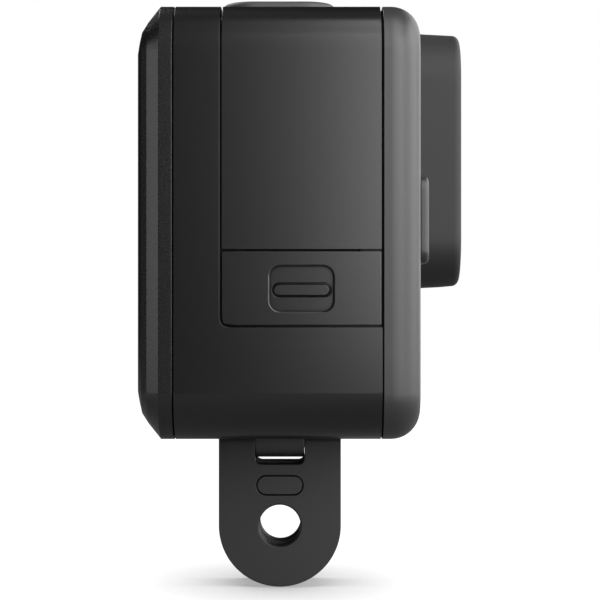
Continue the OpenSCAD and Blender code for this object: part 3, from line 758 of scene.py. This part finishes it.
@dataclass
class LensCover:
    """The square frame that holds the cover glass.

    Attributes:
        corner_r: Corner radius at the base.
        edge_r: Round between the wall and the face.
        draft: How much the wall leans in towards the front.
        glass_r: Radius of the glass opening in the face.
        bore_r: Radius of the hollow behind the glass.
        chamfer: Width of the bright chamfer round the glass.
        glass_fit: Gap between the glass's front and its ledge.
        bore_gap: How far behind the glass the hollow is fully wide.
        arc_steps: Steps in a corner.
        side_steps: Steps in a side.
        wall_steps: Stations up the wall.
        lip_steps: Stations over the round.
        face_steps: Rings across the face.
    """

    corner_r: float = 6.0
    edge_r: float = 0.9
    draft: float = 0.25
    glass_r: float = 11.7
    bore_r: float = 13.2
    chamfer: float = 0.35
    glass_fit: float = 0.01
    bore_gap: float = 0.25
    arc_steps: int = 20
    side_steps: int = 16
    wall_steps: int = 5
    lip_steps: int = 10
    face_steps: int = 6

    def square(self, width: float, inset: float) -> Array:
        """Outline of the frame, drawn in from its base.

        Args:
            width: Width of the frame at its base.
            inset: How far the outline lies inside the base's.

        Returns:
            Points of shape (points, 2).
        """
        side = width - 2 * inset
        return rounded_loop(side, side, self.corner_r - inset, self.arc_steps, self.side_steps)

    def build(self) -> list[tuple[Piece, Standin]]:
        """Makes the frame as one ring-shaped skin.

        The outer loops are rounded squares that lean in, the inner ones are circles; the
        loops run up the wall, over the face, down the opening and along the hollow.

        Returns:
            The frame with its place in the frame of the part.
        """
        low, high = span("lens_cover_frame")
        mid = (low + high) / 2
        width = high[0] - low[0]
        face, back = low[1], high[1]
        glass_front, glass_back = (corner[1] for corner in span("lens_cover_glass"))
        outline = [
            (self.square(width, self.draft * t), back + (face + self.edge_r - back) * t)
            for t in np.linspace(0, 1, self.wall_steps + 1)[:-1]
        ]
        outline += [
            (self.square(width, self.draft + inset), face + below)
            for inset, below in quarter(self.edge_r, self.lip_steps)
        ]
        outer = self.square(width, self.draft + self.edge_r)
        brim = circle_like(outer, self.glass_r + self.chamfer)
        across = np.linspace(0, 1, self.face_steps + 1)[1:]
        outline += [(outer * (1 - t) + brim * t, face) for t in across]
        outline += [
            (circle_like(outer, self.glass_r), face + self.chamfer),
            (circle_like(outer, self.glass_r), glass_front - self.glass_fit),
            (circle_like(outer, self.bore_r), glass_back + self.bore_gap),
            (circle_like(outer, self.bore_r), back),
        ]
        rings = [Facing.FRONT.place(loop, y, (mid[0], mid[2])) for loop, y in outline]
        skin = Surface("lens_cover_frame_skin", np.stack(rings), torus=True).build()
        place = Standin("lens_cover", ("lens_cover_frame",), "cover_plastic", Finish.LENS_COVER)
        return [(skin, place)]


@dataclass
class Door:
    """The foot of the side door: the latch panel, and the latch behind its window.

    Attributes:
        edge: Round on the panel's outer edges.
        corner_r: Radius of the panel's other three corners.
        foot_r: Radius of its lower rear corner.
        hold: Width of the flat strip that parts an edge round from the face.
        window_w: Width of the window.
        window_h: Height of the window.
        window_up: Height of the window's middle above the panel's foot.
        window_r: Corner radius of the window.
        window_edge: Round on the window's lip.
        plate_depth: Depth of the latch's plate behind the latch's outermost face.
        plate_t: Thickness of the latch's plate.
        grip_up: Height of the grip's middle above the panel's foot.
        grip_half: Half of the grip's length.
        grip_r: Half of the grip's height.
        grip_rise: How far the grip stands off the plate.
        grip_slope: Width of the slope round the grip.
        groove: Depth and width of the groove round the grip.
        groove_out: Distance of the groove's middle from the grip's outline.
        arc_steps: Steps in a corner of the panel and the window.
        side_steps: Steps in their sides.
        lip_steps: Stations over an edge round.
        face_steps: Steps from the outer edge to the window.
        grid: Points of the latch's face along Y and Z.
    """

    edge: float = 0.07
    corner_r: float = 0.12
    foot_r: float = 0.8
    hold: float = 0.03
    window_w: float = 7.18
    window_h: float = 5.1
    window_up: float = 4.1
    window_r: float = 1.2
    window_edge: float = 0.14
    plate_depth: float = 0.52
    plate_t: float = 0.65
    grip_up: float = 3.95
    grip_half: float = 3.22
    grip_r: float = 0.71
    grip_rise: float = 0.5
    grip_slope: float = 0.15
    groove: float = 0.05
    groove_out: float = 0.04
    arc_steps: int = 10
    side_steps: int = 14
    lip_steps: int = 6
    face_steps: int = 5
    grid: tuple[int, int] = (241, 201)

    def outline(self, width: float, height: float, inset: float) -> Array:
        """Outline of the latch panel, with its lower rear corner rounder than the rest.

        Points that lie outside the rounder corner's circle are drawn in to it.

        Args:
            width: Full width of the panel.
            height: Full height of the panel.
            inset: How far the outline is drawn in.

        Returns:
            Points of shape (points, 2).
        """
        loop = rounded_loop(
            width - 2 * inset, height - 2 * inset, self.corner_r, self.arc_steps, self.side_steps
        )
        foot = np.array([width / 2 - inset, inset - height / 2])
        radius = self.foot_r - inset
        middle = foot + [-radius, radius]
        away = loop - middle
        far = (away[:, 0] > 0) & (away[:, 1] < 0)
        length = np.maximum(np.linalg.norm(away, axis=1), SMALLEST)
        loop[far] = middle + away[far] * np.minimum(radius / length[far], 1)[:, None]
        return loop

    def window(self, grow: float) -> Array:
        """Outline of the latch's window about its own middle.

        Args:
            grow: How far the outline lies outside the window.

        Returns:
            Points of shape (points, 2).
        """
        return rounded_loop(
            self.window_w + 2 * grow, self.window_h + 2 * grow, self.window_r + grow,
            self.arc_steps, self.side_steps,
        )

    def latch_panel(self) -> Piece:
        """Makes the latch panel as a ring-shaped skin round the latch's window.

        The rings run from the back over the outer edge round, across the face, over the
        window's lip and back down.

        Returns:
            The finished object.
        """
        low, high = span("door_latch_panel")
        mid = (low + high) / 2
        x0, x1 = low[0], high[0]
        width, height = high[1] - low[1], high[2] - low[2]
        offset = np.array([0, low[2] + self.window_up - mid[2]])
        outline = [(self.outline(width, height, 0), x1)]
        for inset, below in quarter(self.edge, self.lip_steps):
            outline.append((self.outline(width, height, inset), x0 + below))
        rim = self.outline(width, height, self.edge + self.hold)
        mouth = self.window(self.window_edge + self.hold) + offset
        for t in np.linspace(0, 1, self.face_steps + 1):
            outline.append((rim * (1 - t) + mouth * t, x0))
        for inset, below in quarter(self.window_edge, self.lip_steps)[::-1]:
            outline.append((self.window(inset) + offset, x0 + below))
        outline.append((self.window(0) + offset, x1))
        rings = [Facing.SIDE.place(loop, x, (mid[1], mid[2])) for loop, x in outline]
        return Surface("door_latch_panel_skin", np.stack(rings), torus=True).build()

    def latch(self) -> Piece:
        """Makes the latch: a plate with a pill-shaped grip.

        The outer face is a grid over Y and Z; its height is the plate's own plus the grip,
        a smooth step of the distance from the grip's centre line, less a narrow groove round
        the grip, a bell curve of that distance. A skirt and one flat face close the back.

        Returns:
            The finished object.
        """
        low, high = span("door_latch")
        panel_low, panel_high = span("door_latch_panel")
        middle_y = (panel_low[1] + panel_high[1]) / 2
        plate = low[0] + self.plate_depth
        y = np.linspace(low[1], high[1], self.grid[0])
        z = np.linspace(low[2], high[2], self.grid[1])
        yy, zz = np.meshgrid(y, z)
        along = np.maximum(np.abs(yy - middle_y) - (self.grip_half - self.grip_r), 0)
        far = np.hypot(along, zz - (panel_low[2] + self.grip_up)) - self.grip_r
        step = np.clip(-far / self.grip_slope, 0, 1)
        rise = self.grip_rise * (step * step * (3 - 2 * step))
        x = plate - rise + self.groove * np.exp(-(((far - self.groove_out) / self.groove) ** 2))
        border = [np.s_[0, :], np.s_[:, -1], np.s_[-1, ::-1], np.s_[::-1, 0]]
        verts = np.stack([x, yy, zz], -1).reshape(-1, 3)
        index = np.arange(len(verts)).reshape(x.shape)
        quads = np.stack([index[:-1, :-1], index[1:, :-1], index[1:, 1:], index[:-1, 1:]], -1)
        rim = np.concatenate([index[part][:-1] for part in border])
        under = verts[rim].copy()
        under[:, 0] = plate + self.plate_t
        base = len(verts) + np.arange(len(rim))
        skirt = np.stack([rim, np.roll(rim, -1), np.roll(base, -1), base], -1)
        faces = quads.reshape(-1, 4).tolist() + skirt.tolist() + [base.tolist()]
        return make_piece("door_latch_skin", np.concatenate([verts, under]), faces)

    def build(self) -> list[tuple[Piece, Standin]]:
        """Makes the door's outer pieces.

        Returns:
            Each piece with its place in the frame.
        """
        panel = Standin("door", ("door_latch_panel",), "door_plastic", Finish.DOOR)
        latch = Standin("latch", ("door_latch",), "latch_plastic", Finish.DOOR)
        return [(self.latch_panel(), panel), (self.latch(), latch)]


@dataclass
class ShutterButton:
    """The crowned shutter button on the top.

    Attributes:
        radius: Corner radius seen from above.
        edge: Round of its upper edge.
        dome: How far its top is crowned.
        flange: Width of the hidden flange round its foot.
        foot: Height of the skin's foot above the node's.
    """

    radius: float = 3.6
    edge: float = 0.7
    dome: float = 0.25
    flange: float = 0.5
    foot: float = 1.1

    def build(self) -> list[tuple[Piece, Standin]]:
        """Makes the button's cap down to its foot.

        Returns:
            The piece with its place in the frame.
        """
        low, high = span("shutter_button")
        mid = (low + high) / 2
        size = high - low - 2 * self.flange
        skin = Slab(
            "shutter_button_skin", Facing.TOP, (mid[0], mid[1]), size[0], size[1], self.radius,
            low[2] + self.foot, high[2], self.edge, self.dome,
        ).build()
        return [(skin, Standin("button", ("shutter_button",), "button_plastic", Finish.BUTTON))]


CAD_FINISH: dict[Finish, tuple[str, ...]] = {
    Finish.HOUSING: ("main_housing",),
    Finish.DOOR: ("door_panel",),
    Finish.HEAT_SINK: ("rear_heat_sink",),
    Finish.FINGER: (
        "base_finger_right", "base_finger_left", "rear_finger_right", "rear_finger_left",
    ),
    Finish.CAP: (
        "base_magnet_right", "base_magnet_left", "rear_magnet_right", "rear_magnet_left",
    ),
    Finish.BRACKET: ("base_hinge_bracket", "rear_hinge_bracket"),
    Finish.STEEL: (
        "base_hinge_pins", "rear_hinge_pins", "door_hinge_pin", "latch_spring",
        "rear_cover_screws", "bracket_screws", "button_switch", "usb_port", "card_slot",
        "front_microphone",
    ),
    Finish.RUBBER: ("front_gasket", "rear_gasket", "button_seal"),
    Finish.SEAL: ("door_seal", "lens_o_ring"),
    Finish.INNER: (
        "door_frame", "lens_barrel", "lens_block", "lens_mount_ring", "speaker", "speaker_mesh",
        "memory_card", "processor",
    ),
    Finish.BOARD: ("button_board", "sensor_board", "main_board", "port_board"),
    Finish.PAD: ("thermal_pad", "battery_pads"),
    Finish.CELL: ("battery",),
    Finish.LIGHT: ("status_light",),
    Finish.GLASS: ("lens_cover_glass",),
    Finish.LENS: ("lens_front_element",),
    Finish.WINDOW: ("status_window", "status_display", "image_sensor"),
}


# --------------------------------------------------------------------------- studio


@dataclass(frozen=True)
class Softbox:
    """A soft rectangular light.

    Attributes:
        name: Its name.
        place: Where it stands, in millimetres.
        aim: The point it faces, in millimetres.
        size: Width and height in millimetres.
        watts: Its power.
    """

    name: str
    place: tuple[float, float, float]
    aim: tuple[float, float, float]
    size: tuple[float, float]
    watts: float

    def build(self) -> None:
        """Adds the light to the scene, out of the camera's sight."""
        lamp = bpy.data.lights.new(self.name, "AREA")
        lamp.shape = "RECTANGLE"
        lamp.size = self.size[0] * MM
        lamp.size_y = self.size[1] * MM
        lamp.energy = self.watts
        stand = bpy.data.objects.new(self.name, lamp)
        stand.location = Vector(self.place) * MM
        aim = (Vector(self.aim) - Vector(self.place)).normalized()
        stand.rotation_euler = aim.to_track_quat("-Z", "Y").to_euler()
        stand.visible_camera = False
        bpy.context.scene.collection.objects.link(stand)


@dataclass
class Studio:
    """White floor with a painted shadow, dim surroundings, soft lights and the camera.

    Attributes:
        floor_z: Height of the floor in millimetres.
        floor_half: Half of the floor's side in millimetres.
        painted_shadow_glow: How bright the floor shines by itself, closest to the object and
            away from it; the lower value near the object is a painted shadow.
        painted_shadow_reach: How far off a surface may be and still darken the floor as painted
            shadow, in millimetres.
        painted_shadow_range: Open share of the sky for the darkest painted shadow and for the
            clear floor.
        paper: How strongly the floor shows its light and shade.
        dull: sRGB hex of the floor as the object's faces see it.
        surround: Brightness of the surroundings for everything but the camera.
        camera_at: Place of the camera in millimetres.
        focal_mm: Focal length of the camera.
        sensor_mm: Width of its sensor.
        clip: Nearest and farthest distance that it sees, in metres.
        lights: The soft lights.
    """

    floor_z: float = -7.6
    floor_half: float = 6000.0
    painted_shadow_glow: tuple[float, float] = (0.38, 1.0)
    painted_shadow_reach: float = 21.0
    painted_shadow_range: tuple[float, float] = (0.35, 0.92)
    paper: float = 0.1
    dull: str = "#808080"
    surround: float = 0.015
    camera_at: tuple[float, float, float] = (-246.2, -2.478, 27.73)
    focal_mm: float = 118.0
    sensor_mm: float = 36.0
    clip: tuple[float, float] = (0.01, 50.0)
    lights: list[Softbox] = field(
        default_factory=lambda: [
            Softbox("key_right", (-262, -124, 151), (0, -124, 151), (212, 274), 1.06),
            Softbox("key_roof", (-158, -124, 343), (71, -124, 15), (212, 250), 0.76),
            Softbox("side_right", (-170, -300, 130), (0, -10, 35), (340, 280), 1.15),
            Softbox("front_soft", (60, -400, 190), (0, 0, 30), (300, 420), 1.70),
            Softbox("front_far", (340, -260, 150), (0, 0, 30), (260, 360), 0.6),
            Softbox("rear_soft", (25, 420, 70), (0, 0, 30), (130, 240), 0.24),
            Softbox("far_fill", (290, 240, 440), (0, 0, 35), (240, 240), 1.5),
            Softbox("top_soft", (0, 0, 500), (0, 0, 0), (500, 500), 0.08),
        ]
    )

    def floor(self) -> None:
        """Lays the white floor, whose shadow under the object is mostly painted into its own
        light by ambient occlusion, with a faint real shadow from the lit paper.
        """
        h = self.floor_half * MM
        z = self.floor_z * MM
        mesh = bpy.data.meshes.new("studio_floor")
        mesh.from_pydata([(-h, -h, z), (h, -h, z), (h, h, z), (-h, h, z)], [], [(0, 1, 2, 3)])
        plane = bpy.data.objects.new("studio_floor", mesh)
        bpy.context.scene.collection.objects.link(plane)
        made, tree = blank_material("floor_paper_white")
        seen = add_node(tree, "ShaderNodeLightPath").outputs["Is Camera Ray"]
        paper = add_node(tree, "ShaderNodeBsdfDiffuse", Color=(self.paper,) * 3 + (1.0,))
        # painted shadow: ambient occlusion near the object dims the floor's own light as the
        # camera sees it
        painted_shadow_ao = add_node(
            tree, "ShaderNodeAmbientOcclusion", {"samples": 16}, Distance=self.painted_shadow_reach * MM
        )
        level = remap(tree, painted_shadow_ao.outputs["AO"], self.painted_shadow_range, self.painted_shadow_glow)
        painted_shadow_glow = add_node(tree, "ShaderNodeEmission", Color=WHITE, Strength=level)
        both = join_two(
            tree, "ShaderNodeAddShader", paper.outputs["BSDF"], painted_shadow_glow.outputs["Emission"]
        )
        dull = add_node(tree, "ShaderNodeBsdfDiffuse", Color=linear(self.dull))
        mix = add_node(tree, "ShaderNodeMixShader", Fac=seen)
        fill(tree, mix.inputs[1], dull.outputs["BSDF"])
        fill(tree, mix.inputs[2], both)
        add_node(tree, "ShaderNodeOutputMaterial", Surface=mix.outputs["Shader"])
        mesh.materials.append(made)
        plane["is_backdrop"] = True

    def world(self) -> None:
        """Makes the surroundings: white to the camera, dim for everything else."""
        world = bpy.data.worlds.new("studio_white")
        bpy.context.scene.world = world
        world.use_nodes = True
        tree = world.node_tree
        tree.nodes.clear()
        path = add_node(tree, "ShaderNodeLightPath")
        white = add_node(tree, "ShaderNodeBackground", Color=WHITE, Strength=1.0)
        dim = add_node(tree, "ShaderNodeBackground", Color=WHITE, Strength=self.surround)
        mix = add_node(tree, "ShaderNodeMixShader", Fac=path.outputs["Is Camera Ray"])
        fill(tree, mix.inputs[1], dim.outputs["Background"])
        fill(tree, mix.inputs[2], white.outputs["Background"])
        add_node(tree, "ShaderNodeOutputWorld", Surface=mix.outputs["Shader"])

    def camera(self) -> None:
        """Places the camera square to the side face."""
        lens = bpy.data.cameras.new("side_view")
        lens.lens = self.focal_mm
        lens.sensor_width = self.sensor_mm
        lens.clip_start, lens.clip_end = self.clip
        eye = bpy.data.objects.new("side_view", lens)
        eye.location = Vector(self.camera_at) * MM
        eye.rotation_euler = Vector((1, 0, 0)).to_track_quat("-Z", "Y").to_euler()
        bpy.context.scene.collection.objects.link(eye)
        bpy.context.scene.camera = eye

    def build(self) -> None:
        """Sets up the whole studio."""
        bpy.context.scene.view_settings.view_transform = "Standard"
        self.world()
        self.floor()
        self.camera()
        for light in self.lights:
            light.build()


def plain(bounds: object) -> object:
    """Args:
        bounds: Vectors, tuples, dicts or numbers.

    Returns:
        The same as lists, dicts and floats.
    """
    if isinstance(bounds, dict):
        return {str(key): plain(value) for key, value in bounds.items()}
    if isinstance(bounds, (int, float, str)) or bounds is None:
        return bounds
    return [plain(value) for value in bounds]


def main() -> None:
    """Builds the camera's looks and the studio, in order."""
    logging.basicConfig(level=logging.INFO, format="%(name)s %(message)s")
    before = plain(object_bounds())
    for assembly in (FrontCover(), LensCover(), Door(), ShutterButton()):
        for piece, place in assembly.build():
            place.join(piece)
    for finish, names in CAD_FINISH.items():
        for name in names:
            paint(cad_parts[name], finish)
    LOG.info("finished %d carried-over nodes", sum(len(names) for names in CAD_FINISH.values()))
    Studio().build()
    after = plain(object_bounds())


if __name__ == "__main__":
    main()
